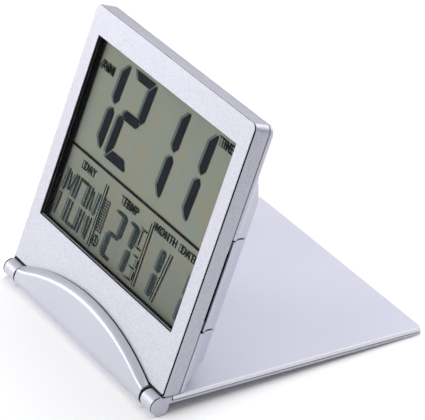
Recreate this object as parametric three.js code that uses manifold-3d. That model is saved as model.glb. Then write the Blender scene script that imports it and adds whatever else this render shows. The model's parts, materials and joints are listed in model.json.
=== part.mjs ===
// Folding travel alarm clock: an LCD clock case hinged to a flat metal cover that is its stand.
// Millimetres, +Z up. The front faces -Y and the hinge runs along X.
// The clock stands on the hinge knuckles and on the far edge of the opened cover.

import * as THREE from 'three';
import { mergeVertices } from 'three/addons/utils/BufferGeometryUtils.js';
import Module from 'manifold-3d';

const wasm = await Module();
wasm.setup();

// ---- Driving dimensions -------------------------------------------------------------------

const WIDTH = 85;
const HALF_WIDTH = WIDTH / 2;
const FACE_BOTTOM = 2.8;
const FACE_TOP = 76.2;
const TOP_CORNER_RADIUS = 2;
const BOTTOM_CORNER_RADIUS = 0.6;
const FACE_FRONT = 0.2;
const FACE_THICKNESS = 0.3;
const CASE_FRONT = -0.3;
const SEAM_FRONT = -4.05;
const SEAM_BACK = -4.35;
const BACK_DEPTH = -10.8;
const WALL = 1.1;
const FRONT_WALL_BACK = -1.5;

const HINGE_RADIUS = 2.5;
const KNUCKLE_INNER = 36.5;
const BARREL_HALF = 35.8;
const PIN_RADIUS = 0.8;
const PIN_BORE_RADIUS = 1.1;
const WASHER_RADIUS = 2.47;
const OPEN_ANGLE = THREE.MathUtils.degToRad(68.75);
const REST_GAP = 0.3;

const CRESCENT_RADIUS = 92.6;
const CRESCENT_TOP = 10.1;
const CRESCENT_CENTRE = CRESCENT_TOP - CRESCENT_RADIUS;
const CRESCENT_FRONT = 2.45;
const CRESCENT_BACK = 0.45;
const CRESCENT_CROWN = 1.8;
const ARC_SEGMENTS = 14;

const COVER_LENGTH = 76.06;
const COVER_INNER = 0.39;
const COVER_OUTER = 2.28;
const PANEL_TOP = 1.05;
const SHEET_BOTTOM = 1.48;
const COVER_CORNER_RADIUS = 1;
const LIP_START = 75.3;
const LIP_BOTTOM = 1.2;
const SHEET_START = 3.7;
const NOTCH_CLEARANCE = 0.4;

const WINDOW = { left: -36.9, right: 36.9, bottom: 17.95, top: 69 };
const LCD = { left: -38, right: 38, bottom: 15, top: 70, front: -2.1, back: -3.9 };

const BOARD_FRONT = -6;
const BOARD_BACK = -6.8;

const CELL_RADIUS = 10;
const CELL_CENTRE = { x: 28, y: 33.5 };
const CELL_FRONT = -5.4;
const CELL_BACK = -7.9;
const DOOR = { bottom: 20.85, top: 46.13, gap: 0.3, inner: -9.6, corner: 35.5 };
const NAIL_SLOT = { bottom: 24, top: 42.6, front: -3.7, back: -4.6, depth: 2 };

const BUTTON_ROW = 52;
const BUTTON_PITCH = 13;
const BUTTON_NAMES = ['mode', 'set', 'up', 'down', 'alarm'];
const BUTTON = { halfLength: 3, radius: 1.5, inner: -8.5, flange: -9.2, outer: -11.35 };

const BUZZER = { x: -20, y: 31 };
const FLOOR_BACK = BACK_DEPTH + WALL - 0.2;
const DRILL_BACK = BACK_DEPTH - 1;

const TOP_SCREWS = [[-38.3, 72.1], [38.3, 72.1]];
const BOTTOM_SCREWS = [[-34.5, 12.5], [34.5, 12.5]];
const BOARD_SCREWS = [[-33, 23], [-33, 54], [11, 23]];

// Rear shell as stacked outlines: depth, half width, lower edge, upper edge.
const REAR_SLAB = [
  { depth: -6.2, half: 41.15, bottom: 2, top: 74.85 },
  { depth: -4.85, half: HALF_WIDTH, bottom: 2, top: FACE_TOP },
  { depth: SEAM_BACK, half: HALF_WIDTH, bottom: 2, top: FACE_TOP },
];
const REAR_BULGE = [
  { depth: BACK_DEPTH, half: 38.2, bottom: 12, top: 56.8 },
  { depth: -9.9, half: 39.1, bottom: 10.7, top: 58.5 },
  { depth: -7.6, half: 40.2, bottom: 7.4, top: 62.7 },
  { depth: -6.2, half: 41.3, bottom: 5.3, top: 65.2 },
  { depth: -5, half: 42.3, bottom: 3.4, top: 67.2 },
];

// ---- Solid helpers ------------------------------------------------------------------------

function toSolid(geometry) {
  const bare = geometry.index ? geometry.toNonIndexed() : geometry.clone();
  bare.deleteAttribute('normal');
  bare.deleteAttribute('uv');
  const merged = mergeVertices(bare, 1e-4);
  return new wasm.Manifold(new wasm.Mesh({
    numProp: 3,
    vertProperties: new Float32Array(merged.attributes.position.array),
    triVerts: new Uint32Array(merged.index.array),
  }));
}

function toGeometry(solid) {
  const mesh = solid.getMesh();
  const geometry = new THREE.BufferGeometry();
  geometry.setAttribute('position', new THREE.BufferAttribute(mesh.vertProperties, 3));
  geometry.setIndex(new THREE.BufferAttribute(mesh.triVerts, 1));
  geometry.computeVertexNormals();
  return geometry;
}

const join = (...solids) => solids.reduce((all, solid) => all.add(solid));
const cut = (base, ...tools) => tools.reduce((left, tool) => left.subtract(tool), base);

function prism(shape, back, front, curveSegments = 3) {
  const geometry = new THREE.ExtrudeGeometry(shape, {
    depth: front - back,
    bevelEnabled: false,
    curveSegments,
  });
  return toSolid(geometry.translate(0, 0, back));
}

// A prism whose front edge is rounded inwards.
function crownedPrism(shape, back, front, radius, curveSegments) {
  const geometry = new THREE.ExtrudeGeometry(shape, {
    depth: front - back - radius,
    bevelThickness: radius,
    bevelSize: radius,
    bevelOffset: -radius,
    bevelSegments: 3,
    curveSegments,
  });
  const below = block(-WIDTH, WIDTH, -WIDTH, WIDTH, back - 2 * radius, back);
  return toSolid(geometry.translate(0, 0, back)).subtract(below);
}

function block(x0, x1, y0, y1, z0, z1) {
  const geometry = new THREE.BoxGeometry(x1 - x0, y1 - y0, z1 - z0);
  return toSolid(geometry.translate((x0 + x1) / 2, (y0 + y1) / 2, (z0 + z1) / 2));
}

// A round bar along Z.
function post(x, y, radius, back, front, sides = 20) {
  const geometry = new THREE.CylinderGeometry(radius, radius, front - back, sides);
  geometry.rotateX(Math.PI / 2);
  return toSolid(geometry.translate(x, y, (back + front) / 2));
}

// A round bar along X, centred on the hinge axis.
function bar(radius, x0, x1, sides = 32) {
  const geometry = new THREE.CylinderGeometry(radius, radius, x1 - x0, sides);
  geometry.rotateZ(Math.PI / 2);
  return toSolid(geometry.translate((x0 + x1) / 2, 0, 0));
}

// A rectangle with one radius for its two lower corners and one for its two upper corners.
function roundedRectangle(left, right, bottom, top, lowerRadius, upperRadius = lowerRadius) {
  const shape = new THREE.Shape();
  shape.moveTo(left + lowerRadius, bottom);
  shape.lineTo(right - lowerRadius, bottom);
  shape.absarc(right - lowerRadius, bottom + lowerRadius, lowerRadius, -Math.PI / 2, 0);
  shape.absarc(right - upperRadius, top - upperRadius, upperRadius, 0, Math.PI / 2);
  shape.absarc(left + upperRadius, top - upperRadius, upperRadius, Math.PI / 2, Math.PI);
  shape.absarc(left + lowerRadius, bottom + lowerRadius, lowerRadius, Math.PI, 1.5 * Math.PI);
  return shape;
}

function pill(x, y, halfLength, radius) {
  return roundedRectangle(x - halfLength, x + halfLength, y - radius, y + radius, radius * 0.999);
}

// Joins stacked outlines, deepest first, into one solid with straight sides between them.
function loft(sections) {
  const last = sections[sections.length - 1];
  const outline = roundedRectangle(-last.half, last.half, last.bottom, last.top,
    BOTTOM_CORNER_RADIUS, TOP_CORNER_RADIUS);
  const geometry = new THREE.ExtrudeGeometry(outline, {
    depth: sections.length - 1,
    steps: sections.length - 1,
    bevelEnabled: false,
    curveSegments: 2,
  });
  const position = geometry.attributes.position;
  for (let i = 0; i < position.count; i += 1) {
    const section = sections[Math.round(position.getZ(i))];
    const rise = (position.getY(i) - last.bottom) / (last.top - last.bottom);
    position.setXYZ(
      i,
      position.getX(i) * section.half / last.half,
      section.bottom + rise * (section.top - section.bottom),
      section.depth,
    );
  }
  return toSolid(geometry);
}

// The same stack moved in from the outer surface by one wall.
function inset(sections, wall) {
  return sections.map((section) => ({
    depth: section.depth + wall,
    half: section.half - wall,
    bottom: section.bottom + wall,
    top: section.top - wall,
  }));
}

// Everything under the opened cover's outer face, seen from the clock case.
function coverSpace(extra) {
  const geometry = new THREE.BoxGeometry(2 * WIDTH, 2 * WIDTH, WIDTH);
  geometry.translate(0, WIDTH / 2, COVER_OUTER + REST_GAP + extra - WIDTH / 2);
  return toSolid(geometry.rotateX(-OPEN_ANGLE));
}

// ---- Scene helpers ------------------------------------------------------------------------

const clock = new THREE.Group();
const body = new THREE.Group();
const cover = new THREE.Group();
clock.add(body, cover);

const silverPaint = { color: 0xdcdce4, roughness: 0.42, metalness: 0.35 };
const casePaint = { color: 0xb9b9c5, roughness: 0.45, metalness: 0.35 };
const aluminium = { color: 0xd3d1df, roughness: 0.35, metalness: 0.85 };
const steel = { color: 0xb8bac0, roughness: 0.3, metalness: 1 };
const blackPlastic = { color: 0x111114, roughness: 0.5, metalness: 0 };
const buttonPlastic = { color: 0x8d8f9b, roughness: 0.5, metalness: 0 };
const rubber = { color: 0x2b2c30, roughness: 0.85, metalness: 0 };
const adhesive = { color: 0x1c1c20, roughness: 0.9, metalness: 0 };
const clearAcrylic = { color: 0xeef2f2, roughness: 0.05, metalness: 0, opacity: 0.25, transparent: true };
const lcdGlass = { color: 0x9aa093, roughness: 0.2, metalness: 0 };
const reflectorFilm = { color: 0xb4b8a8, roughness: 0.4, metalness: 0.4 };
const boardLaminate = { color: 0x2c6a45, roughness: 0.6, metalness: 0 };
const brass = { color: 0xc8a96a, roughness: 0.35, metalness: 0.9 };

function add(group, name, solid, finish) {
  const mesh = new THREE.Mesh(toGeometry(solid), new THREE.MeshStandardMaterial(finish));
  mesh.name = name;
  group.add(mesh);
}

// ---- Case: face panel, front case, rear case ------------------------------------------------

const faceOutline = roundedRectangle(-HALF_WIDTH, HALF_WIDTH, FACE_BOTTOM, FACE_TOP,
  BOTTOM_CORNER_RADIUS, TOP_CORNER_RADIUS);
const PEGS = [[-18, 5.6], [18, 5.6]];
const PEG_RADIUS = 1;
const PEG_HOLE_RADIUS = 1.3;

function pegHoles() {
  return join(...PEGS.map(([x, y]) => post(x, y, PEG_HOLE_RADIUS, -4, 1)));
}

function windowBlock(margin, back, front) {
  return block(WINDOW.left - margin, WINDOW.right + margin,
    WINDOW.bottom - margin, WINDOW.top + margin, back, front);
}

function facePanel() {
  const panel = prism(faceOutline, FACE_FRONT - FACE_THICKNESS, FACE_FRONT);
  return cut(panel, windowBlock(0, -1, 1), pegHoles(), coverSpace(0));
}

function frontCase() {
  const outer = prism(faceOutline, SEAM_FRONT, CASE_FRONT);
  const inner = roundedRectangle(-HALF_WIDTH + WALL, HALF_WIDTH - WALL,
    FACE_BOTTOM + WALL, FACE_TOP - WALL, BOTTOM_CORNER_RADIUS);
  const cavity = prism(inner, SEAM_FRONT - 1, FRONT_WALL_BACK).subtract(coverSpace(WALL));
  const bosses = join(
    ...TOP_SCREWS.map(([x, y]) => post(x, y, 1.7, SEAM_FRONT, CASE_FRONT - 0.2)),
    ...BOTTOM_SCREWS.map(([x, y]) => post(x, y, 2, SEAM_FRONT, CASE_FRONT - 0.2)),
  );
  const pilots = join(...[...TOP_SCREWS, ...BOTTOM_SCREWS].map(
    ([x, y]) => post(x, y, 1.1, SEAM_FRONT - 1, -1.8),
  ));
  const nailSlot = block(HALF_WIDTH - NAIL_SLOT.depth, HALF_WIDTH + 1,
    NAIL_SLOT.bottom, NAIL_SLOT.top, SEAM_FRONT - 1, NAIL_SLOT.front);
  const shell = join(cut(outer, cavity), bosses);
  return cut(shell, windowBlock(1.5, -5, 1), pilots, pegHoles(), nailSlot, coverSpace(0));
}

const rearOuter = cut(join(loft(REAR_SLAB), loft(REAR_BULGE)), coverSpace(0));
const rearCavity = join(loft(inset(REAR_SLAB, WALL)), loft(inset(REAR_BULGE, WALL)))
  .subtract(coverSpace(WALL));

function screwWell([x, y], headBack, floor) {
  return join(post(x, y, 2, headBack, floor), post(x, y, 1.1, headBack, SEAM_BACK + 1));
}

function soundHoles() {
  const holes = [post(BUZZER.x, BUZZER.y, 0.8, DRILL_BACK, -9, 12)];
  for (let i = 0; i < 6; i += 1) {
    const angle = i * Math.PI / 3;
    const x = BUZZER.x + 3.2 * Math.cos(angle);
    const y = BUZZER.y + 3.2 * Math.sin(angle);
    holes.push(post(x, y, 0.8, DRILL_BACK, -9, 12));
  }
  return join(...holes);
}

function ventSlots() {
  const slots = [];
  for (let i = 0; i < 3; i += 1) {
    slots.push(prism(pill(-6, 17 + 2.4 * i, 4, 0.5), DRILL_BACK, -9));
  }
  return join(...slots);
}

function rearCase() {
  const shell = cut(rearOuter, rearCavity);
  const buzzerSeat = cut(post(BUZZER.x, BUZZER.y, 8.4, FLOOR_BACK, -8.1, 32),
    post(BUZZER.x, BUZZER.y, 7.6, FLOOR_BACK - 1, -8, 32));
  const screwPosts = join(
    ...BOTTOM_SCREWS.map(([x, y]) => post(x, y, 3, FLOOR_BACK, SEAM_BACK)),
    ...TOP_SCREWS.map(([x, y]) => post(x, y, 2.4, -6, SEAM_BACK)),
  ).intersect(rearOuter);
  const boardPosts = join(...BOARD_SCREWS.map(([x, y]) => post(x, y, 1.8, FLOOR_BACK, -7.1)));
  const guides = join(
    block(16, 41.5, DOOR.bottom - 1, DOOR.bottom, FLOOR_BACK, -4.8),
    block(16, 41.5, DOOR.top, DOOR.top + 1, FLOOR_BACK, -4.8),
  ).intersect(rearOuter);
  const doorway = join(
    block(35, HALF_WIDTH + 1, DOOR.bottom, DOOR.top, DOOR.inner, SEAM_BACK + 1),
    block(DOOR.corner, HALF_WIDTH + 1, DOOR.bottom, DOOR.top, DRILL_BACK, SEAM_BACK),
  );
  const wells = [
    ...TOP_SCREWS.map((at) => screwWell(at, -7, -5.2)),
    ...BOTTOM_SCREWS.map((at) => screwWell(at, DRILL_BACK, -6.5)),
  ];
  const boardPilots = BOARD_SCREWS.map(([x, y]) => post(x, y, 1, -8.9, -7, 12));
  const buttonHoles = BUTTON_NAMES.map((name, i) => prism(
    pill(buttonX(i), BUTTON_ROW, BUTTON.halfLength + 0.3, BUTTON.radius + 0.3), DRILL_BACK, -9,
  ));
  const whole = join(shell, buzzerSeat, screwPosts, boardPosts, guides);
  return cut(whole, doorway, ...wells, ...boardPilots, ...buttonHoles, soundHoles(), ventSlots());
}

function buttonX(i) {
  return (i - (BUTTON_NAMES.length - 1) / 2) * BUTTON_PITCH;
}

add(body, 'face_panel', facePanel(), silverPaint);
add(body, 'front_case', frontCase(), casePaint);
add(body, 'rear_case', rearCase(), casePaint);

// ---- Display: lens, holder, LCD glass, reflector, elastomer strip ----------------------------

// A black frame: its ring lines the display's edge, its rails hold the LCD panel behind it.
function displayHolder() {
  const sight = block(-35.9, 35.9, 17.6, 69.3, -5, 0);
  const ring = block(-38.1, 38.1, 16.75, 70.2, -1.9, -1.15);
  const rails = block(-39.3, 39.3, 15.5, 71.2, -4.2, -1.7);
  const pocket = block(LCD.left - 0.3, LCD.right + 0.3, LCD.bottom - 0.3, LCD.top + 0.3, -5, -1.9);
  const bossRoom = TOP_SCREWS.map(([x, y]) => post(x, y, 2, -5, 0));
  return cut(join(ring, cut(rails, pocket)), sight, ...bossRoom);
}

add(body, 'display_lens', windowBlock(-0.3, -0.95, 0.05), clearAcrylic);
add(body, 'display_holder', displayHolder(), blackPlastic);
add(body, 'lcd_panel', block(LCD.left, LCD.right, LCD.bottom, LCD.top, LCD.back, LCD.front), lcdGlass);
add(body, 'lcd_reflector', block(-37, 37, 20, 69.8, -4.35, -4.15), reflectorFilm);
add(body, 'lcd_connector_strip', block(-34, 8, 17.3, 19.3, -5.7, -4.2), rubber);

// ---- Electronics ------------------------------------------------------------------------------

function circuitBoard() {
  const board = new THREE.Shape();
  board.moveTo(-37, 17);
  board.lineTo(15.5, 17);
  board.lineTo(15.5, 48);
  board.lineTo(37, 48);
  board.lineTo(37, 57.5);
  board.lineTo(-37, 57.5);
  const holes = BOARD_SCREWS.map(([x, y]) => post(x, y, 1, -7.5, -5, 12));
  return cut(prism(board, BOARD_BACK, BOARD_FRONT), ...holes);
}

// The drop of resin over the controller chip, as a low dome turned about Z.
function controllerBlob() {
  const profile = [new THREE.Vector2(0, 0), new THREE.Vector2(4.5, 0)];
  for (let i = 1; i <= 5; i += 1) {
    const angle = i * Math.PI / 10;
    profile.push(new THREE.Vector2(4.5 * Math.cos(angle), 1.3 * Math.sin(angle)));
  }
  profile[profile.length - 1].x = 0;
  const geometry = new THREE.LatheGeometry(profile, 24);
  geometry.rotateX(-Math.PI / 2);
  return toSolid(geometry.translate(0, 31, BOARD_BACK - 0.2));
}

function crystalCan() {
  const geometry = new THREE.CylinderGeometry(1, 1, 6, 16);
  geometry.rotateZ(Math.PI / 2);
  return toSolid(geometry.translate(4, 42, -8.1));
}

function thermistorBead() {
  const geometry = new THREE.SphereGeometry(0.8, 12, 8);
  return toSolid(geometry.translate(-6, 19.4, -7.9));
}

add(body, 'circuit_board', circuitBoard(), boardLaminate);
add(body, 'controller_chip', controllerBlob(), blackPlastic);
add(body, 'quartz_crystal', crystalCan(), steel);
add(body, 'temperature_sensor', thermistorBead(), blackPlastic);
add(body, 'buzzer_disc', post(BUZZER.x, BUZZER.y, 7.3, -8.7, -8.3, 32), brass);
add(body, 'keypad_mat', prism(roundedRectangle(-31, 31, 48.8, 55.2, 1), -7.6, -7.1), rubber);

// ---- Fasteners ----------------------------------------------------------------------------------

// A pan-head screw driven towards +Z, with a cross recess in its head.
function screw(x, y, headBack, headRadius, headHeight, shankRadius, tip) {
  const head = post(x, y, headRadius, headBack, headBack + headHeight);
  const shank = post(x, y, shankRadius, headBack + headHeight / 2, tip, 12);
  const slot = headRadius * 0.6;
  const depth = headBack + headHeight * 0.5;
  const recess = join(
    block(x - slot, x + slot, y - 0.22, y + 0.22, headBack - 1, depth),
    block(x - 0.22, x + 0.22, y - slot, y + slot, headBack - 1, depth),
  );
  return cut(join(head, shank), recess);
}

TOP_SCREWS.forEach(([x, y], i) => {
  add(body, `case_screw_${i + 1}`, screw(x, y, -6.05, 1.6, 0.7, 0.8, -2.3), steel);
});
BOTTOM_SCREWS.forEach(([x, y], i) => {
  add(body, `case_screw_${i + 3}`, screw(x, y, -7.6, 1.6, 0.9, 0.8, -2.3), steel);
});
BOARD_SCREWS.forEach(([x, y], i) => {
  const mirrored = screw(x, y, 0, 1.5, 0.7, 0.7, 3.6).mirror([0, 0, 1]);
  add(body, `board_screw_${i + 1}`, mirrored.translate([0, 0, -5]), steel);
});

// ---- Buttons --------------------------------------------------------------------------------------

function button(x) {
  const flange = prism(
    pill(x, BUTTON_ROW, BUTTON.halfLength + 0.9, BUTTON.radius + 0.9), BUTTON.flange, BUTTON.inner,
  );
  const cap = prism(
    pill(x, BUTTON_ROW, BUTTON.halfLength, BUTTON.radius), BUTTON.outer, BUTTON.inner,
  );
  return join(flange, cap);
}

BUTTON_NAMES.forEach((name, i) => {
  add(body, `button_${name}`, button(buttonX(i)), buttonPlastic);
});

// ---- Battery: tray with its door, coin cell, contacts -----------------------------------------------

function batteryTray() {
  const bottom = DOOR.bottom + DOOR.gap;
  const top = DOOR.top - DOOR.gap;
  const slab = block(20, HALF_WIDTH + 1, bottom, top, DOOR.inner + DOOR.gap, SEAM_BACK - 0.2);
  const corner = block(DOOR.corner + DOOR.gap, HALF_WIDTH + 1, bottom, top, DRILL_BACK, -6);
  const low = block(19, 39.2, bottom - 1, top + 1, -5.5, -4);
  const pocket = post(CELL_CENTRE.x, CELL_CENTRE.y, CELL_RADIUS + 0.3, -8.2, -4, 48);
  const mouth = block(19, CELL_CENTRE.x, bottom + 2.2, top - 2.2, -8.2, -4);
  const nailSlot = block(HALF_WIDTH - NAIL_SLOT.depth, HALF_WIDTH + 1,
    NAIL_SLOT.bottom, NAIL_SLOT.top, NAIL_SLOT.back, -4);
  return cut(join(slab, corner).intersect(rearOuter), low, pocket, mouth, nailSlot);
}

function positiveContact() {
  return join(
    block(16.9, 17.4, 30.5, 36.5, -8, -5.5),
    block(11.5, 17.4, 30.5, 36.5, -7.5, -7.1),
  );
}

function negativeContact() {
  const strip = new THREE.Shape();
  strip.moveTo(9, -5.75);
  strip.lineTo(13.4, -5.75);
  strip.lineTo(16, -5.15);
  strip.lineTo(33, -5.15);
  strip.lineTo(33, -4.95);
  strip.lineTo(15.9, -4.95);
  strip.lineTo(13.3, -5.5);
  strip.lineTo(9, -5.5);
  const geometry = new THREE.ExtrudeGeometry(strip, { depth: 4, bevelEnabled: false });
  geometry.rotateX(Math.PI / 2);
  return toSolid(geometry.translate(0, 35.5, 0));
}

add(body, 'battery_tray', batteryTray(), casePaint);
add(body, 'coin_cell', post(CELL_CENTRE.x, CELL_CENTRE.y, CELL_RADIUS, CELL_BACK, CELL_FRONT, 40), steel);
add(body, 'battery_contact_positive', positiveContact(), brass);
add(body, 'battery_contact_negative', negativeContact(), brass);

// ---- Hinge ------------------------------------------------------------------------------------------

// Circular segment between the hinge line and an arc that is concentric for crescent and notch.
function crescentOutline(half, radius, bottom) {
  const angle = Math.asin(half / radius);
  const shape = new THREE.Shape();
  shape.moveTo(-half, bottom);
  shape.lineTo(half, bottom);
  shape.absarc(0, CRESCENT_CENTRE, radius, Math.PI / 2 - angle, Math.PI / 2 + angle);
  return shape;
}

function hingeFascia() {
  const outline = crescentOutline(BARREL_HALF, CRESCENT_RADIUS, -CRESCENT_CROWN);
  const plate = crownedPrism(outline, CRESCENT_BACK, CRESCENT_FRONT, CRESCENT_CROWN, ARC_SEGMENTS);
  const barrel = bar(HINGE_RADIUS, -BARREL_HALF, BARREL_HALF);
  const pegs = PEGS.map(([x, y]) => post(x, y, PEG_RADIUS, -3.4, CRESCENT_BACK + 0.5));
  const bores = [bar(PIN_BORE_RADIUS, -40, -29, 16), bar(PIN_BORE_RADIUS, 29, 40, 16)];
  return cut(join(plate, barrel, ...pegs), ...bores);
}

add(body, 'hinge_fascia', hingeFascia(), casePaint);
for (const [side, sign] of [['left', -1], ['right', 1]]) {
  const spans = (a, b) => [Math.min(sign * a, sign * b), Math.max(sign * a, sign * b)];
  const washer = cut(bar(WASHER_RADIUS, ...spans(36, 36.3)), bar(PIN_BORE_RADIUS, ...spans(35, 37), 16));
  add(body, `hinge_washer_${side}`, washer, rubber);
  add(cover, `hinge_pin_${side}`, bar(PIN_RADIUS, ...spans(29.5, 41.2), 16), steel);
}

// ---- Cover --------------------------------------------------------------------------------------------

// Cover outline from its near edge to its far rounded corners.
function coverOutline(start) {
  return roundedRectangle(-HALF_WIDTH, HALF_WIDTH, start, COVER_LENGTH, 0.3, COVER_CORNER_RADIUS);
}

function notch() {
  const radius = CRESCENT_RADIUS + NOTCH_CLEARANCE;
  const arch = prism(crescentOutline(KNUCKLE_INNER, radius, 0), -1, 5, ARC_SEGMENTS);
  return join(arch, block(-KNUCKLE_INNER, KNUCKLE_INNER, -4, 1, -3, 5));
}

function coverFrame() {
  const panel = prism(coverOutline(2), COVER_INNER, PANEL_TOP);
  const arms = prism(coverOutline(0), COVER_INNER, COVER_OUTER)
    .subtract(block(-WIDTH, WIDTH, SHEET_START - 0.3, 2 * WIDTH, -1, 5));
  const whole = cut(join(panel, arms, bar(HINGE_RADIUS, -HALF_WIDTH, HALF_WIDTH)), notch());
  const middle = block(-KNUCKLE_INNER, KNUCKLE_INNER, -5, 3, -3, 5);
  const pinHoles = bar(PIN_BORE_RADIUS, -41.5, 41.5, 16);
  return cut(whole, middle, pinHoles);
}

// The outer sheet, turned down at its far edge to close the gap over the panel.
function coverSheet() {
  const sheet = prism(coverOutline(SHEET_START), SHEET_BOTTOM, COVER_OUTER);
  const lip = prism(coverOutline(0), LIP_BOTTOM, COVER_OUTER)
    .intersect(block(-WIDTH, WIDTH, LIP_START, 2 * WIDTH, 0, 5));
  return cut(join(sheet, lip), notch());
}

function coverAdhesive() {
  const pad = roundedRectangle(-HALF_WIDTH + 1, HALF_WIDTH - 1, 12, LIP_START - 0.3, 1);
  return prism(pad, PANEL_TOP + 0.1, SHEET_BOTTOM - 0.1);
}

add(cover, 'cover_frame', coverFrame(), casePaint);
add(cover, 'cover_sheet', coverSheet(), aluminium);
add(cover, 'cover_adhesive', coverAdhesive(), adhesive);

// ---- Pose ---------------------------------------------------------------------------------------------

// The cover slopes down from the hinge axis until its far lower edge touches the ground.
const reach = Math.hypot(COVER_LENGTH, COVER_INNER);
const slope = Math.asin(HINGE_RADIUS / reach) + Math.atan2(COVER_INNER, COVER_LENGTH);
cover.rotation.x = -slope;
body.rotation.x = OPEN_ANGLE - slope;

clock.updateMatrixWorld(true);
const bounds = new THREE.Box3().setFromObject(clock, true);
clock.position.set(0, -(bounds.min.y + bounds.max.y) / 2, -bounds.min.z);

export default clock;
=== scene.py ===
"""Looks of a folding travel alarm clock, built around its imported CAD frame.

Shapes are in millimetres. The clock body and the opened cover each have a frame of their own, with
the hinge axis as X. In the body's, Y runs up the face and Z out of it. In the cover's, Y runs out to
the far edge and Z up through the sheet.
"""

import json
import math

import bpy
from mathutils import Matrix, Vector

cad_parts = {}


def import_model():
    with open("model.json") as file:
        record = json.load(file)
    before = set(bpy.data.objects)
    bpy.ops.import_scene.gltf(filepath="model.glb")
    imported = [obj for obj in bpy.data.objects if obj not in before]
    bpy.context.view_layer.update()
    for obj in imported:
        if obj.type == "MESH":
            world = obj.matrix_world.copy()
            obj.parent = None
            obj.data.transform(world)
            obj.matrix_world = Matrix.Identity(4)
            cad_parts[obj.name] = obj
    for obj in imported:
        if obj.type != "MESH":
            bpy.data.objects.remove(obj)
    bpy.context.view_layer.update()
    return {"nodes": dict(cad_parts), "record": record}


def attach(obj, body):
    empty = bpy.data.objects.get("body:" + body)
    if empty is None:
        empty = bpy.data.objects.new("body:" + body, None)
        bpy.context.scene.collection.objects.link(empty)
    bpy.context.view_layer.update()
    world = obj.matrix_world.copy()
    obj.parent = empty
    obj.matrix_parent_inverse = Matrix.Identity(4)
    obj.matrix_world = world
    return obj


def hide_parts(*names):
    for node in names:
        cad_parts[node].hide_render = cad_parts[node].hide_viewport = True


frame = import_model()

# ---- Sizes, in millimetres ---------------------------------------------------

HALF_WIDTH = 42.5
FACE_BOTTOM, FACE_TOP = 2.8, 76.2
TOP_RADIUS, BOTTOM_RADIUS = 2.0, 0.6
FACE_BACK, FACE_FRONT = -0.1, 0.2
PLATE_INSET = {"left": 0.28, "right": 0.62, "bottom": 0.5, "top": 0.22}
PLATE_LOWER_RADIUS, PLATE_UPPER_RADIUS = 0.3, 1.5
CASE_FRONT, CASE_RIM = -0.3, 0.13
SEAM_FRONT, SEAM_BACK = -4.0, -4.22
BACK = -10.8
WALL = 1.1
WINDOW = (-36.9, 36.9, 17.95, 69.0)
SIGHT_SHIFT = {"left": -0.32, "right": -0.25, "bottom": -0.1, "top": -0.1}
PEGS, PEG_HOLE = [(-18.0, 5.6), (18.0, 5.6)], 1.3
BEYOND = 1  # how far a cutter reaches past what it cuts

DOOR = {"bottom": 20.85, "top": 46.13, "gap": 0.5, "front": -4.7, "inner": -9.6, "corner": 35.5}
NAIL_SLOT = {"bottom": 24.0, "top": 42.6, "front": -3.88, "back": -4.76, "depth": 2.0}
SLOT_RECESS = (39.0, 41.95)
# Bar of painted shade in the depth of the nail slot.
SLOT_SHADE_BAR = (39.05, 41.9)
TRAY_LEFT, TRAY_RIGHT = 20, 39.2
TRAY_FLOOR, TRAY_TOP = -8.2, -5.5
CELL = (28.0, 33.5, 10.0)
DOOR_GAP_SHADE = {"left": 34, "right": 43, "back": -9.4, "front": -4.4, "width": 0.42, "inset": 0.22}

BUTTONS = ["mode", "set", "up", "down", "alarm"]
BUTTON_ROW, BUTTON_PITCH = 52.0, 13.0
BUZZER, BUZZER_RING = (-20.0, 31.0), 3.2
SCREW_HOLE = 2.0
TOP_SCREWS = [(-38.3, 72.1), (38.3, 72.1)]
BOTTOM_SCREWS = [(-34.5, 12.5), (34.5, 12.5)]

HINGE_RADIUS = 2.5
KNUCKLE_INNER, BARREL_HALF = 36.5, 35.65
PIN_BORE = 1.1
OPEN_ANGLE = math.radians(68.75)
REST_GAP = 0.3
CRESCENT_RADIUS, CRESCENT_TOP = 92.6, 10.1
CRESCENT_CENTRE = CRESCENT_TOP - CRESCENT_RADIUS
CRESCENT_FRONT, CRESCENT_BACK = 2.45, 0.45
RING_PLACES, RING_WIDTH = {"left": -42.3, "right": 41.85}, 0.45

COVER_LENGTH = 76.06
COVER_INNER, COVER_OUTER = 0.39, 2.28
COVER_NEAR_RADIUS, COVER_FAR_RADIUS = 0.3, 1.0
PANEL_TOP, SHEET_BOTTOM = 1.05, 1.48
RIM_BOTTOM, RIM_WIDTH = 1.24, 0.25
LIP_START, LIP_BOTTOM = 75.3, 1.2
SHEET_START = 3.7
NOTCH_CLEARANCE = 0.4

LCD = {"left": -38.0, "right": 38.0, "bottom": 15.0, "top": 70.0, "front": -2.1, "back": -3.9}
LCD_SUBSTRATE = -2.26
MARK = 0.03
SHADOW_SHIFT = (-1.25, -0.05)

# ---- The two local frames: the clock body and the opened cover ---------------

joints = {joint["name"]: joint for joint in frame["record"]["behaviour"]["joints"]}
HINGE = Vector(joints["cover_hinge"]["pos_m"])
REACH = math.hypot(COVER_LENGTH, COVER_INNER)
SLOPE = math.asin(HINGE_RADIUS / REACH) + math.atan2(COVER_INNER, COVER_LENGTH)
MILLIMETRES = Matrix.Scale(0.001, 4)
BODY = Matrix.Translation(HINGE) @ Matrix.Rotation(OPEN_ANGLE - SLOPE, 4, "X") @ MILLIMETRES
COVER = Matrix.Translation(HINGE) @ Matrix.Rotation(-SLOPE, 4, "X") @ MILLIMETRES

# ---- Outlines ----------------------------------------------------------------


def arc(x, y, radius, start, end, steps):
    """Points along an arc, angles in degrees."""
    angles = [math.radians(start + (end - start) * i / steps) for i in range(steps + 1)]
    return [(x + radius * math.cos(a), y + radius * math.sin(a)) for a in angles]


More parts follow.
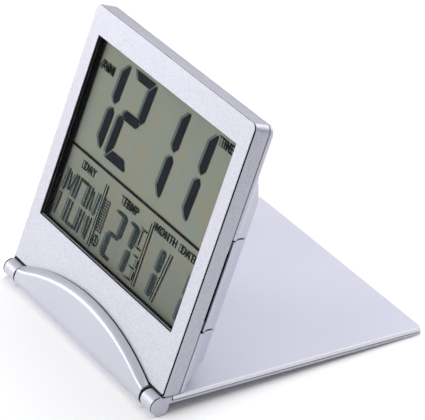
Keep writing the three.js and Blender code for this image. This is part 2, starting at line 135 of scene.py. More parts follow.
def rounded_rectangle(left, right, bottom, top, lower, upper=None, steps=8):
    """Anticlockwise rectangle with one radius for its lower and one for its upper corners."""
    upper = lower if upper is None else upper
    return (
        arc(right - lower, bottom + lower, lower, -90, 0, steps)
        + arc(right - upper, top - upper, upper, 0, 90, steps)
        + arc(left + upper, top - upper, upper, 90, 180, steps)
        + arc(left + lower, bottom + lower, lower, 180, 270, steps)
    )


def rectangle(left, right, bottom, top):
    return [(left, bottom), (right, bottom), (right, top), (left, top)]


def pill(x, y, half, radius):
    return rounded_rectangle(x - half, x + half, y - radius, y + radius, radius * 0.98, steps=10)


def circle(x, y, radius, steps=40):
    return arc(x, y, radius, 0, 360 - 360 / steps, steps - 1)


def move_in(outline, distance):
    """The outline with every side moved inwards."""
    if not distance:
        return list(outline)
    moved = []
    for i, here in enumerate(outline):
        before, after = outline[i - 1], outline[(i + 1) % len(outline)]
        a = Vector((here[0] - before[0], here[1] - before[1])).normalized()
        b = Vector((after[0] - here[0], after[1] - here[1])).normalized()
        normal = Vector((-a.y - b.y, a.x + b.x)) / (1 + a.dot(b))
        moved.append((here[0] + normal.x * distance, here[1] + normal.y * distance))
    return moved


# ---- Closed solids as (points, faces) ----------------------------------------


def skin(rings):
    """Joins rings of equal length into a closed solid, the first ring at the back."""
    count = len(rings[0])
    points = [point for ring in rings for point in ring]
    faces = []
    for k in range(len(rings) - 1):
        for i in range(count):
            j = (i + 1) % count
            low, high = k * count, (k + 1) * count
            faces.append((low + i, low + j, high + j, high + i))
    faces.append(tuple(reversed(range(count))))
    faces.append(tuple(range(len(points) - count, len(points))))
    return points, faces


def stack(outline, profile):
    """A solid that follows an outline; profile is [(inset, height), ...] from back to front."""
    return skin([[(x, y, z) for x, y in move_in(outline, inset)] for inset, z in profile])


def prism(outline, back, front, round_back=0.0, round_front=0.0, steps=4):
    """An extruded outline with rounded back and front edges."""
    profile = []
    turns = [math.pi / 2 * i / steps for i in range(steps + 1)]
    if round_back:
        for a in turns:
            profile.append((round_back * (1 - math.sin(a)), back + round_back * (1 - math.cos(a))))
    else:
        profile.append((0.0, back))
    if round_front:
        for a in turns:
            profile.append((round_front * (1 - math.cos(a)), front - round_front * (1 - math.sin(a))))
    else:
        profile.append((0.0, front))
    return stack(outline, profile)


def flared(outline, back, front, rim, flare=0.12):
    """A cutter that opens out towards a rim at the given height, which breaks the sharp edge."""
    if rim > back:
        profile = [(0, back), (0, rim - flare), (-flare, rim), (-flare, front)]
    else:
        profile = [(-flare, back), (-flare, rim), (0, rim + flare), (0, front)]
    return stack(outline, profile)


def block(x0, x1, y0, y1, z0, z1, rounding=0.0):
    return prism(rectangle(x0, x1, y0, y1), z0, z1, rounding, rounding, 2)


def post(x, y, radius, back, front, steps=40):
    return prism(circle(x, y, radius, steps), back, front)


def sideways(part):
    """Turns a solid that runs along Z so that it runs along X."""
    points, faces = part
    return [(z, x, y) for x, y, z in points], faces


def rod(radius, x0, x1, rounding=0.0, steps=64):
    """A round bar along X on the hinge axis."""
    return sideways(prism(circle(0, 0, radius, steps), x0, x1, rounding, rounding))


def joined(*parts):
    points, faces = [], []
    for more_points, more_faces in parts:
        start = len(points)
        points += more_points
        faces += [tuple(start + i for i in face) for face in more_faces]
    return points, faces


def turned(part, matrix):
    points, faces = part
    return [tuple(matrix @ Vector(point)) for point in points], faces


def cover_space(extra=0.0):
    """Everything under the opened cover's outer face, seen from the clock body."""
    slab = block(-90, 90, -90, 90, -60, COVER_OUTER + REST_GAP + extra)
    return turned(slab, Matrix.Rotation(-OPEN_ANGLE, 4, "X"))


# ---- Pieces ------------------------------------------------------------------


def add(name, data):
    """Puts an object with this data in the scene."""
    thing = bpy.data.objects.new(name, data)
    bpy.context.scene.collection.objects.link(thing)
    return thing


def build(name, *parts):
    """Makes one piece of all the parts, still in millimetres."""
    points, faces = joined(*parts)
    mesh = bpy.data.meshes.new(name)
    mesh.from_pydata(points, [], faces)
    return add(name, mesh)


def evaluated(piece):
    """The piece's mesh with its modifiers applied."""
    graph = bpy.context.evaluated_depsgraph_get()
    return bpy.data.meshes.new_from_object(piece.evaluated_get(graph))


def carve(piece, operation, *parts):
    """Cuts, joins or intersects a piece with other solids, all still in millimetres."""
    tool = build(piece.name + "_tool", *parts)
    step = piece.modifiers.new("carve", "BOOLEAN")
    step.operation = operation
    step.solver = "EXACT"
    step.use_self = len(parts) > 1
    step.object = tool
    mesh = evaluated(piece)
    piece.modifiers.clear()
    piece.data = mesh
    bpy.data.objects.remove(tool)
    return piece


def taken(piece):
    """Removes a helper piece and returns its solid."""
    mesh = piece.data
    solid = [tuple(v.co) for v in mesh.vertices], [tuple(p.vertices) for p in mesh.polygons]
    bpy.data.objects.remove(piece)
    return solid


def settle(piece, place, body, material, replaces=(), crease=35.0):
    """Puts a finished piece in the row frame, smooths it between creases and hangs it on its body."""
    mesh = piece.data
    mesh.transform(place)
    mesh.shade_smooth()
    mesh.set_sharp_from_angle(angle=math.radians(crease))
    weighting = piece.modifiers.new("weighted normals", "WEIGHTED_NORMAL")
    weighting.keep_sharp = True
    mesh.materials.clear()
    mesh.materials.append(material)
    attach(piece, body)
    if replaces:
        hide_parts(*replaces)
    return piece


# Hangs a black piece on its body: the window gasket, and strips of painted shade in the gaps.
def settle_black(piece, place=BODY, body="clock_body"):
    return settle(piece, place, body, BLACK_RUBBER_AND_GAP_SHADE)


# ---- Materials ---------------------------------------------------------------


def linear(red, green, blue):
    """A display colour, 0 to 255, as linear light."""
    values = [channel / 255 for channel in (red, green, blue)]
    return tuple(v / 12.92 if v <= 0.04045 else ((v + 0.055) / 1.055) ** 2.4 for v in values)


class Surface:
    """A Principled material whose colour, roughness and bump come from noise in the object's space."""

    def __init__(self, name, colour, roughness, metallic=0.0, specular=0.5):
        self.material = bpy.data.materials.new(name)
        self.material.use_nodes = True
        self.tree = self.material.node_tree
        self.shader = self.tree.nodes["Principled BSDF"]
        self.shader.inputs["Metallic"].default_value = metallic
        self.shader.inputs["Specular IOR Level"].default_value = specular
        self.place = self.node("ShaderNodeTexCoord").outputs["Object"]
        self.colour = colour
        self.shader.inputs["Base Color"].default_value = (*colour, 1)
        self.shader.inputs["Roughness"].default_value = roughness

    def node(self, kind):
        return self.tree.nodes.new(kind)

    def link(self, output, target):
        self.tree.links.new(output, target)

    def spread(self, value, start, end, low, high):
        """Turns a value that runs from start to end into one from low to high, eased at both ends."""
        span = self.node("ShaderNodeMapRange")
        span.interpolation_type = "SMOOTHSTEP"
        limits = {"From Min": start, "From Max": end, "To Min": low, "To Max": high}
        for name, limit in limits.items():
            span.inputs[name].default_value = limit
        self.link(value, span.inputs["Value"])
        return span.outputs["Result"]

    def noise(self, size, low, high, detail=2.0, contrast=0.3):
        """Noise with features of the given size in millimetres, between two values."""
        texture = self.node("ShaderNodeTexNoise")
        texture.inputs["Scale"].default_value = 1000 / size
        texture.inputs["Detail"].default_value = detail
        self.link(self.place, texture.inputs["Vector"])
        return self.spread(texture.outputs["Fac"], 0.5 - contrast, 0.5 + contrast, low, high)

    def rise(self, bottom, top, low, high):
        """A value that grows with the height over the ground, in millimetres."""
        split = self.node("ShaderNodeSeparateXYZ")
        self.link(self.place, split.inputs[0])
        return self.spread(split.outputs["Z"], bottom / 1000, top / 1000, low, high)

    def brighten(self, brightness):
        """Scales the base colour by the brightness, and returns the socket for that colour."""
        tint = self.node("ShaderNodeVectorMath")
        tint.operation = "SCALE"
        self.link(brightness, tint.inputs["Scale"])
        self.link(tint.outputs[0], self.shader.inputs["Base Color"])
        return tint.inputs[0]

    def shade(self, *factors):
        """Multiplies the base colour by every factor."""
        value = factors[0]
        for factor in factors[1:]:
            product = self.node("ShaderNodeMath")
            product.operation = "MULTIPLY"
            self.link(value, product.inputs[0])
            self.link(factor, product.inputs[1])
            value = product.outputs[0]
        self.brighten(value).default_value = self.colour
        return self

    def blend(self, other, amount, brightness):
        """Mixes the base colour with another one by the amount, then scales it."""
        mix = self.node("ShaderNodeMix")
        mix.data_type = "RGBA"
        mix.inputs["A"].default_value = (*self.colour, 1)
        mix.inputs["B"].default_value = (*other, 1)
        self.link(amount, mix.inputs["Factor"])
        self.link(mix.outputs["Result"], self.brighten(brightness))
        return self

    def rough(self, value):
        self.link(value, self.shader.inputs["Roughness"])
        return self

    def bump(self, height, depth):
        """Raises the surface by up to depth millimetres."""
        bump = self.node("ShaderNodeBump")
        bump.inputs["Strength"].default_value = 1
        bump.inputs["Distance"].default_value = depth / 1000
        self.link(height, bump.inputs["Height"])
        self.link(bump.outputs["Normal"], self.shader.inputs["Normal"])
        return self


def metallic_paint(name, colour, roughness, sparkle, metallic=0.35, peel=0.004):
    """Silver paint or satin metal: fine flakes, slow clouding and, with a peel, orange peel."""
    paint = Surface(name, colour, roughness, metallic)
    flakes = paint.noise(0.3, 1 - sparkle, 1 + sparkle, detail=1.0)
    clouds = paint.noise(22, 0.985, 1.015)
    paint.shade(flakes, clouds)
    if peel:
        paint.rough(paint.noise(7, roughness - 0.02, roughness + 0.02, contrast=0.5))
        paint.bump(paint.noise(0.35, 0, 1), peel)
    return paint.material


def plastic(name, colour, roughness, grain=0.5, depth=0.01, specular=0.5):
    """Moulded plastic or rubber; the grain's size and depth are in millimetres."""
    moulded = Surface(name, colour, roughness, 0, specular)
    moulded.shade(moulded.noise(9, 0.9, 1.1), moulded.noise(grain, 0.93, 1.07))
    moulded.rough(moulded.noise(3, roughness - 0.07, roughness + 0.07))
    return moulded.bump(moulded.noise(grain, 0, 1), depth).material


def bright_metal(name, colour, roughness):
    """Bare metal with a fine grain and a little wear."""
    metal = Surface(name, colour, roughness, 1.0)
    metal.shade(metal.noise(0.5, 0.94, 1.06), metal.noise(6, 0.97, 1.03))
    metal.rough(metal.noise(2, roughness - 0.06, roughness + 0.08))
    return metal.bump(metal.noise(0.4, 0, 1), 0.003).material


def clear_acrylic():
    """Clear sheet that only adds its gloss, a little hazed by handling."""
    material = bpy.data.materials.new("clear_acrylic")
    material.use_nodes = True
    tree = material.node_tree
    tree.nodes.clear()
    new, link = tree.nodes.new, tree.links.new
    output = new("ShaderNodeOutputMaterial")
    mix = new("ShaderNodeMixShader")
    through = new("ShaderNodeBsdfTransparent")
    through.inputs["Color"].default_value = (0.97, 0.98, 0.98, 1)
    gloss = new("ShaderNodeBsdfGlossy")
    gloss.inputs["Color"].default_value = (0.07, 0.07, 0.08, 1)
    edge = new("ShaderNodeLayerWeight")
    edge.inputs["Blend"].default_value = 0.06
    place = new("ShaderNodeTexCoord")
    smears = new("ShaderNodeTexNoise")
    smears.inputs["Scale"].default_value = 90
    span = new("ShaderNodeMapRange")
    span.inputs["To Min"].default_value = 0.04
    span.inputs["To Max"].default_value = 0.16
    link(place.outputs["Object"], smears.inputs["Vector"])
    link(smears.outputs["Fac"], span.inputs["Value"])
    link(span.outputs["Result"], gloss.inputs["Roughness"])
    link(edge.outputs["Facing"], mix.inputs["Fac"])
    link(through.outputs["BSDF"], mix.inputs[1])
    link(gloss.outputs["BSDF"], mix.inputs[2])
    link(mix.outputs["Shader"], output.inputs["Surface"])
    return material


def liquid_crystal(name, colour, other, roughness=0.4):
    """Display surface with a slow drift between two tints, and a little painted shade at its foot."""
    film = Surface(name, colour, roughness, 0, 0.08)
    # The brightness rises with height: painted shade from the window's frame over the display's foot.
    film.blend(other, film.noise(7, 0, 1, detail=3, contrast=0.2), film.rise(21, 42, 0.76, 1))
    return film.rough(film.noise(4, roughness - 0.05, roughness + 0.05)).material


FACE_PAINT = metallic_paint("face_silver_paint", linear(197, 197, 207), 0.42, 0.16)
FRONT_PAINT = metallic_paint("front_silver_paint", linear(181, 181, 193), 0.36, 0.14, 0.45)
CASE_PAINT = metallic_paint("case_silver_paint", linear(190, 190, 203), 0.34, 0.08, 0.45)
FRAME_PAINT = metallic_paint("frame_silver_paint", linear(192, 192, 204), 0.5, 0.08, 0.4)
FASCIA_PAINT = metallic_paint("fascia_silver_paint", linear(196, 196, 207), 0.37, 0.02, 0.6, 0)
COVER_METAL = metallic_paint("cover_satin_aluminium", linear(199, 198, 213), 0.42, 0.02, 0.15)
# Lighter copy of the cover's metal for the sheet's rim: a painted highlight along its edge.
COVER_EDGE_HIGHLIGHT = metallic_paint("cover_edge_painted_highlight", linear(232, 232, 240), 0.35, 0.02, 0.15)
# Black plastic; the nail slot's bar of painted shade also takes it.
BLACK_PLASTIC_AND_SLOT_SHADE = plastic("black_plastic", linear(12, 12, 14), 0.5, specular=0.12)
# Black rubber for washers, gasket, keypad and connector; the strips of painted shade in the gaps also
# take it.
BLACK_RUBBER_AND_GAP_SHADE = plastic("black_rubber", linear(10, 10, 11), 0.8, 0.3, specular=0.15)
BUTTON_PLASTIC = plastic("button_plastic", linear(150, 152, 164), 0.4)
ADHESIVE = plastic("adhesive_foam", linear(30, 30, 33), 0.9, 0.25, 0.03)
STEEL = bright_metal("nickel_plated_steel", linear(190, 192, 200), 0.28)
BRASS = bright_metal("brass_sheet", linear(205, 170, 96), 0.3)
BOARD = plastic("board_laminate", linear(30, 98, 58), 0.45, 0.4)
LENS = clear_acrylic()
# The lens's foot and left side as lit and shaded copies of its edge: painted highlight and painted
# shade.
LENS_FOOT_HIGHLIGHT = plastic("lens_foot_painted_highlight", linear(170, 172, 172), 0.6, 0.3)
LENS_SIDE_SHADE = plastic("shaded_lens_edge", linear(96, 98, 99), 0.6, 0.3, specular=0.12)
LCD_BACK = liquid_crystal("lcd_polariser", linear(151, 147, 129), linear(143, 149, 137))
LCD_DARK = liquid_crystal("lcd_dark_segment", linear(8, 14, 25), linear(14, 20, 30))
LCD_GREY = liquid_crystal("lcd_grey_segment", linear(40, 49, 51), linear(50, 59, 60))
LCD_GHOST = liquid_crystal("lcd_segment_shadow", linear(90, 100, 100), linear(98, 106, 102))
LCD_OFF = liquid_crystal("lcd_off_segment", linear(148, 149, 134), linear(144, 149, 138))
# Printed ink; the uprights' painted drop shadow also takes it.
LCD_INK_AND_LINE_SHADOW = liquid_crystal("lcd_ink_and_painted_line_shadow", linear(8, 9, 11), linear(14, 15, 17))
INK_SHADOW = liquid_crystal("lcd_ink_shadow", linear(56, 62, 60), linear(64, 70, 68))
REFLECTOR = bright_metal("reflector_film", linear(176, 180, 166), 0.45)

# ---- Case --------------------------------------------------------------------

FACE_OUTLINE = rounded_rectangle(
    -HALF_WIDTH, HALF_WIDTH, FACE_BOTTOM, FACE_TOP, BOTTOM_RADIUS, TOP_RADIUS)


def window(margin=0.0):
    left, right, bottom, top = WINDOW
    return rectangle(left - margin, right + margin, bottom - margin, top + margin)


def sight():
    """Opening of the face plate, a little off the window behind it."""
    left, right, bottom, top = WINDOW
    return rectangle(left + SIGHT_SHIFT["left"], right + SIGHT_SHIFT["right"],
                     bottom + SIGHT_SHIFT["bottom"], top + SIGHT_SHIFT["top"])


def peg_holes():
    return [post(x, y, PEG_HOLE, -4, BEYOND) for x, y in PEGS]


def plate_outline():
    return rounded_rectangle(
        -HALF_WIDTH + PLATE_INSET["left"], HALF_WIDTH - PLATE_INSET["right"],
        FACE_BOTTOM + PLATE_INSET["bottom"], FACE_TOP - PLATE_INSET["top"],
        PLATE_LOWER_RADIUS, PLATE_UPPER_RADIUS)


def face_plate():
    """Light frame round the display, relieved at the back for the window gasket."""
    plate = build("face_plate", prism(plate_outline(), FACE_BACK, FACE_FRONT, 0, 0.1))
    carve(plate, "DIFFERENCE", flared(sight(), -BEYOND, BEYOND, FACE_FRONT, 0.04))
    carve(plate, "DIFFERENCE", prism(window(0.5), -BEYOND, 0.1), *peg_holes())
    settle(plate, BODY, "clock_body", FACE_PAINT, ["face_panel"])


def face_gap_shade():
    """Painted shade in the gap between the case's rim and the face plate, with a tongue under the
    plate.
    """
    edge, tongue, fit = plate_outline(), 0.25, 0.01
    outer = move_in(FACE_OUTLINE, CASE_RIM + fit)
    shade_strip = build("face_gap_shade", prism(outer, CASE_FRONT + 0.02, 0.1, 0, 0.03))
    carve(shade_strip, "DIFFERENCE", prism(move_in(edge, -fit), FACE_BACK - fit, BEYOND))
    carve(shade_strip, "DIFFERENCE", prism(move_in(edge, tongue), -BEYOND, BEYOND))
    settle_black(shade_strip)


def window_gasket():
    """Black ring round the window: a flange in the case and a collar up to the face plate."""
    flange = prism(window(1.4), -1.1, -0.35)
    collar = prism(window(0.45), -1.0, 0.08)
    gasket = carve(build("window_gasket", flange), "UNION", collar)
    carve(gasket, "DIFFERENCE", prism(window(-0.14), -2, BEYOND))
    settle_black(gasket)


def lens_edges():
    """Lens edges in the gasket: a strip of painted highlight at the foot, one of painted shade at the
    left.
    """
    left, right, bottom, top = WINDOW
    sill = block(left + 0.32, right - 0.32, bottom + 0.17, bottom + 0.28, -0.52, -0.12)
    jamb = block(left + 0.16, left + 0.28, bottom + 0.32, top - 0.32, -0.46, -0.36)
    settle(build("lens_foot_highlight_strip", sill), BODY, "clock_body", LENS_FOOT_HIGHLIGHT)
    settle(build("lens_side_shade_strip", jamb), BODY, "clock_body", LENS_SIDE_SHADE)


def nail_slot():
    return block(HALF_WIDTH - NAIL_SLOT["depth"], HALF_WIDTH + BEYOND, NAIL_SLOT["bottom"],
                 NAIL_SLOT["top"], NAIL_SLOT["back"], NAIL_SLOT["front"])


def front_shell():
    """Front case: side walls, a floor behind the face plate, and a rim round the plate."""
    floor_back, foot = -1.5, 2.2
    shell = build("front_shell", prism(FACE_OUTLINE, SEAM_FRONT, 0.0, 0.1, 0.1))
    carve(shell, "DIFFERENCE", prism(move_in(FACE_OUTLINE, CASE_RIM), CASE_FRONT, BEYOND))
    inner = rounded_rectangle(-HALF_WIDTH + WALL, HALF_WIDTH - WALL, FACE_BOTTOM + foot,
                              FACE_TOP - WALL, BOTTOM_RADIUS)
    carve(shell, "DIFFERENCE", prism(inner, SEAM_FRONT - BEYOND, floor_back))
    carve(shell, "DIFFERENCE", prism(window(1.5), -5, BEYOND), nail_slot(), *peg_holes())
    carve(shell, "DIFFERENCE", cover_space())
    settle(shell, BODY, "clock_body", FRONT_PAINT, ["front_case"])


# Rear shell as stacked outlines: depth, half width, lower edge, upper edge. The bulge is the raised
# housing on the back, which holds the works and the coin cell.
SLAB_ROWS = [
    (-6.2, 40.9, 2.0, 74.6), (-6.12, 41.3, 2.0, 75.0), (-5.85, 41.75, 2.0, 75.45),
    (-5.4, 42.2, 2.0, 75.9), (-4.85, 42.5, 2.0, 76.2), (-4.3, 42.5, 2.0, 76.2),
    (-4.24, 42.46, 2.0, 76.16), (-4.22, 42.4, 2.0, 76.1),
]
BULGE_ROWS = [
    (-10.8, 37.9, 12.4, 56.3), (-10.74, 38.3, 11.9, 56.9), (-10.55, 38.65, 11.4, 57.5),
    (-10.2, 38.95, 11.0, 58.1), (-9.7, 39.2, 10.4, 58.9), (-9.0, 39.55, 9.4, 60.2),
    (-8.3, 39.9, 8.4, 61.5), (-7.6, 40.25, 7.4, 62.7), (-6.9, 40.7, 6.3, 64.0),
    (-6.2, 41.25, 5.3, 65.2), (-5.6, 41.8, 4.3, 66.2), (-5.0, 42.3, 3.4, 67.2),
]


def loft(rows, lower, upper, inset=0.0):
    """Skins a table of outlines, moved in on every side by the inset."""
    rings = []
    for depth, half, bottom, top in rows:
        outline = rounded_rectangle(-half + inset, half - inset, bottom + inset, top - inset,
                                    lower, upper, steps=7)
        rings.append([(x, y, depth + inset) for x, y in outline])
    return skin(rings)


def rear_solid(name, inset=0.0, sharper=0.0):
    """Slab and bulge in one, moved in on every side; the bulge's corners may be sharper."""
    solid = build(name, loft(SLAB_ROWS, BOTTOM_RADIUS, TOP_RADIUS, inset))
    return carve(solid, "UNION", loft(BULGE_ROWS, 1.5 - sharper, 3.0 - sharper, inset))


def rear_outer(name):
    return carve(rear_solid(name), "DIFFERENCE", cover_space())


def button_x(i):
    return (i - len(BUTTONS) // 2) * BUTTON_PITCH


def through_back(outline, flare, front=-9):
    return flared(outline, BACK - BEYOND, front, BACK, flare)


def rear_openings():
    """Everything drilled or moulded through the back wall."""
    spots = [BUZZER]
    for i in range(6):
        angle = i * math.pi / 3
        spots.append((BUZZER[0] + BUZZER_RING * math.cos(angle),
                      BUZZER[1] + BUZZER_RING * math.sin(angle)))
    vents = [pill(-6, 17 + 2.4 * i, 4, 0.5) for i in range(3)]
    slab_back = SLAB_ROWS[0][0]
    parts = [through_back(pill(button_x(i), BUTTON_ROW, 3.3, 1.8), 0.25) for i in range(len(BUTTONS))]
    parts += [through_back(circle(x, y, 0.8, 24), 0.2) for x, y in spots]
    parts += [through_back(vent, 0.15) for vent in vents]
    parts += [through_back(circle(x, y, SCREW_HOLE), 0.3, -6.5) for x, y in BOTTOM_SCREWS]
    parts += [flared(circle(x, y, SCREW_HOLE), slab_back - BEYOND, -5.2, slab_back, 0.2)
              for x, y in TOP_SCREWS]
    return parts


def rear_shell():
    """Back of the case, hollow, with the doorway for the battery tray."""
    shell = rear_outer("rear_shell")
    cavity = rear_solid("cavity", WALL, 0.5)
    carve(cavity, "DIFFERENCE", cover_space(WALL))
    carve(shell, "DIFFERENCE", taken(cavity))
    right, bottom, top = HALF_WIDTH + BEYOND, DOOR["bottom"], DOOR["top"]
    doorway = block(35, right, bottom, top, DOOR["inner"], SEAM_BACK + BEYOND)
    corner = block(DOOR["corner"], right, bottom, top, BACK - BEYOND, -8)
    carve(shell, "DIFFERENCE", doorway, corner)
    carve(shell, "DIFFERENCE", *rear_openings())
    settle(shell, BODY, "clock_body", CASE_PAINT, ["rear_case"])


def battery_door():
    """Door on the right side, in one piece with the coin cell's tray."""
    right = HALF_WIDTH + BEYOND
    bottom, top = DOOR["bottom"] + DOOR["gap"], DOOR["top"] - DOOR["gap"]
    door = rear_outer("battery_door")
    slab = build("slab", block(TRAY_LEFT, right, bottom, top, DOOR["inner"] + 0.3, DOOR["front"]))
    carve(slab, "UNION", block(DOOR["corner"] + DOOR["gap"], right, bottom, top,
                               BACK - BEYOND, -6))
    carve(door, "INTERSECT", taken(slab))
    x, y, radius = CELL
    carve(
        door, "DIFFERENCE",
        block(TRAY_LEFT - BEYOND, TRAY_RIGHT, bottom - BEYOND, top + BEYOND, TRAY_TOP, -4),
        post(x, y, radius + 0.3, TRAY_FLOOR, -4.01, 64),
        block(18.9, x, bottom + 2.2, top - 2.2, TRAY_FLOOR + 0.01, -4.02),
        nail_slot(),
    )
    recess = block(*SLOT_RECESS, NAIL_SLOT["bottom"] - 0.4, NAIL_SLOT["top"] + 0.4, -5.35, -4.4)
    carve(door, "DIFFERENCE", recess)
    settle(door, BODY, "battery_tray", CASE_PAINT, ["battery_tray"])


def door_gap_shade():
    """Painted shade in the gaps above and below the battery door, just under the case's surface."""
    inset = rear_solid("slab_inset", DOOR_GAP_SHADE["inset"])
    left, right, back, front = (DOOR_GAP_SHADE[side] for side in ("left", "right", "back", "front"))
    near, far = 0.02, 0.02 + DOOR_GAP_SHADE["width"]
    bottom, top = DOOR["bottom"], DOOR["top"]
    shade_strips = build("door_gap_shade", block(left, right, top - far, top - near, back, front))
    carve(shade_strips, "UNION", block(left, right, bottom + near, bottom + far, back, front))
    carve(shade_strips, "INTERSECT", taken(inset))
    settle_black(shade_strips)


def nail_slot_shade():
    """Black bar deep in the nail slot, painted shade where the slot's inside is only shaded."""
    bottom, top = NAIL_SLOT["bottom"] - 0.35, NAIL_SLOT["top"] + 0.35
    bar = build("nail_slot_painted_shade", block(*SLOT_SHADE_BAR, bottom, top, -5.3, -4.9, 0.05))
    settle(bar, BODY, "battery_tray", BLACK_PLASTIC_AND_SLOT_SHADE)


def buttons():
    """Five keys, each a cap on a flange that holds it behind the back wall."""
    for i, name in enumerate(BUTTONS):
        x = button_x(i)
        flange = prism(pill(x, BUTTON_ROW, 3.9, 2.4), -9.2, -8.5, 0.1, 0.1)
        cap = prism(pill(x, BUTTON_ROW, 3, 1.5), -11.35, -8.6, 0.45, 0, 6)
        piece = build(f"key_{name}", flange, cap)
        settle(piece, BODY, f"button_{name}", BUTTON_PLASTIC,
               [f"button_{name}"])


# ---- Hinge -------------------------------------------------------------------


def crescent_height(x, inset):
    return CRESCENT_CENTRE + math.sqrt((CRESCENT_RADIUS - inset) ** 2 - x * x)


def gap_shade_depth(x):
    """How far the strip of painted shade reaches in under the crescent's rim."""
    return max(0.15, min(1.2, crescent_height(x, 0) - 2.75))


# Section of the crescent's rim, from the painted shade out to its flat front: inset from the
# crescent's outline, and distance in front of the hinge axis. The inset shrinks towards the crescent's
# tips.
CRESCENT_RIM = [(0.0, 0.76), (0.0, 0.79), (0.02, 0.84), (0.05, 0.89), (0.4, 1.22), (0.8, 1.57),
                (1.2, 1.9), (1.55, 2.155), (1.75, 2.27), (1.95, 2.345), (2.15, 2.39), (2.4, 2.42),
                (2.7, 2.44), (3.1, CRESCENT_FRONT)]


def fascia():
    """Crescent blended into the hinge barrel, as cross sections along X."""
    stations, barrel_steps = 48, 40
    barrel = [math.radians(-6 + 262 * i / barrel_steps) for i in range(barrel_steps + 1)]
    rings = []
    for k in range(stations + 1):
        x = -BARREL_HALF + 2 * BARREL_HALF * k / stations
        squeeze = min(1, (crescent_height(x, 0) - 0.7) / 3.7)
        base = crescent_height(x, 0) - gap_shade_depth(x) - 0.05
        ring = [(base, CRESCENT_BACK), (base, 0.73)]
        ring += [(crescent_height(x, inset * squeeze), n) for inset, n in CRESCENT_RIM]
        ring += [(-HINGE_RADIUS * math.sin(a), HINGE_RADIUS * math.cos(a)) for a in barrel]
        ring.append((2.46, CRESCENT_BACK))
        rings.append([(x, v, n) for v, n in ring])
    piece = build("hinge_crescent", skin(rings))
    bores = [rod(PIN_BORE, -40, -29, steps=24), rod(PIN_BORE, 29, 40, steps=24)]
    carve(piece, "DIFFERENCE", *bores)
    settle(piece, BODY, "clock_body", FASCIA_PAINT, ["hinge_fascia"], 50)


def crescent_gap_shade():
    """Painted shade in the gap along the arch, between the crescent's rim and the face plate."""
    steps, reach = 48, 35.4
    xs = [-reach + 2 * reach * i / steps for i in range(steps + 1)]
    outline = [(x, crescent_height(x, 0) - gap_shade_depth(x)) for x in xs]
    outline += [(x, crescent_height(x, 0.05)) for x in reversed(xs)]
    shade_strip = build("crescent_gap_shade", prism(outline, FACE_FRONT + 0.03, 0.71))
    settle_black(shade_strip)


def foot_gap_shades():
    """Black strips of painted shade in the gap between the case and the hinge knuckles."""
    for side, left, right in (("left", -42.4, -35.6), ("right", 35.6, 42.4)):
        strip = build(f"foot_seal_{side}", block(left, right, 2.56, 2.79, -1.6, 0.12))
        carve(strip, "DIFFERENCE", cover_space(-0.2))
        settle_black(strip)


def washers():
    """Black washers between the barrel and the cover's knuckles."""
    for side, sign in (("left", -1), ("right", 1)):
        ends = sorted((sign * 35.7, sign * 36.45))
        piece = build(f"washer_{side}", rod(2.4, *ends, rounding=0.05))
        carve(piece, "DIFFERENCE", rod(PIN_BORE, ends[0] - BEYOND, ends[1] + BEYOND, steps=24))
        settle(piece, BODY, "clock_body", BLACK_RUBBER_AND_GAP_SHADE, [f"hinge_washer_{side}"])


# ---- Cover -------------------------------------------------------------------


def arch(start, end):
    """The curve along which the cover clears the crescent, between two angles in degrees."""
    return arc(0, CRESCENT_CENTRE, CRESCENT_RADIUS + NOTCH_CLEARANCE, start, end, 56)


def notch_outline():
    """The arch cut out of the cover for the crescent, closed below the near edge."""
    angle = math.degrees(math.asin(KNUCKLE_INNER / (CRESCENT_RADIUS + NOTCH_CLEARANCE)))
    return [(-KNUCKLE_INNER, -4), (KNUCKLE_INNER, -4)] + arch(90 - angle, 90 + angle)


def cover_outline(start):
    return rounded_rectangle(-HALF_WIDTH, HALF_WIDTH, start, COVER_LENGTH,
                             COVER_NEAR_RADIUS, COVER_FAR_RADIUS)


def arched_outline(start):
    """Cover outline whose near edge follows the arch."""
    radius = CRESCENT_RADIUS + NOTCH_CLEARANCE
    half = math.sqrt(radius ** 2 - (start - CRESCENT_CENTRE) ** 2)
    angle = math.degrees(math.asin(half / radius))
    near, far = COVER_NEAR_RADIUS, COVER_FAR_RADIUS
    outer = (
        arc(HALF_WIDTH - near, start + near, near, -90, 0, 6)
        + arc(HALF_WIDTH - far, COVER_LENGTH - far, far, 0, 90, 10)
        + arc(-HALF_WIDTH + far, COVER_LENGTH - far, far, 90, 180, 10)
        + arc(-HALF_WIDTH + near, start + near, near, 180, 270, 6)
    )
    return outer + arch(90 + angle, 90 - angle)


def cover_plate():
    """Satin sheet with a lip at the far edge, inside a rim of its own lightened as a painted
    highlight.
    """
    outline = arched_outline(SHEET_START)
    sheet = build("cover_plate", prism(outline, SHEET_BOTTOM, COVER_OUTER, 0.08, 0.22))
    lip = build("lip", prism(cover_outline(0), LIP_BOTTOM, COVER_OUTER - 0.3, 0.1, 0))
    carve(lip, "INTERSECT", block(-90, 90, LIP_START, 90, 0, 5))
    carve(sheet, "UNION", taken(lip))
    # The rim carries the painted highlight of the sheet's edge.
    rim = build("cover_rim_highlight", prism(outline, RIM_BOTTOM, COVER_OUTER, 0.06, 0.22))
    inner = prism(move_in(outline, RIM_WIDTH), 0, 5)
    carve(rim, "DIFFERENCE", inner)
    carve(sheet, "INTERSECT", inner)
    settle(rim, COVER, "cover", COVER_EDGE_HIGHLIGHT)
    settle(sheet, COVER, "cover", COVER_METAL, ["cover_sheet"])


def knuckle_profile():
    """Side view of a hinge knuckle with its arm, filleted where the arm leaves the barrel."""
    barrel = arc(0, 0, HINGE_RADIUS, 72, 360 + 6, 44)
    fillet = [(2.56, 0.33), (2.66, 0.375), (2.8, COVER_INNER)]
    return barrel + fillet + [(3.4, COVER_INNER), (3.4, COVER_OUTER), (1.6, COVER_OUTER)]


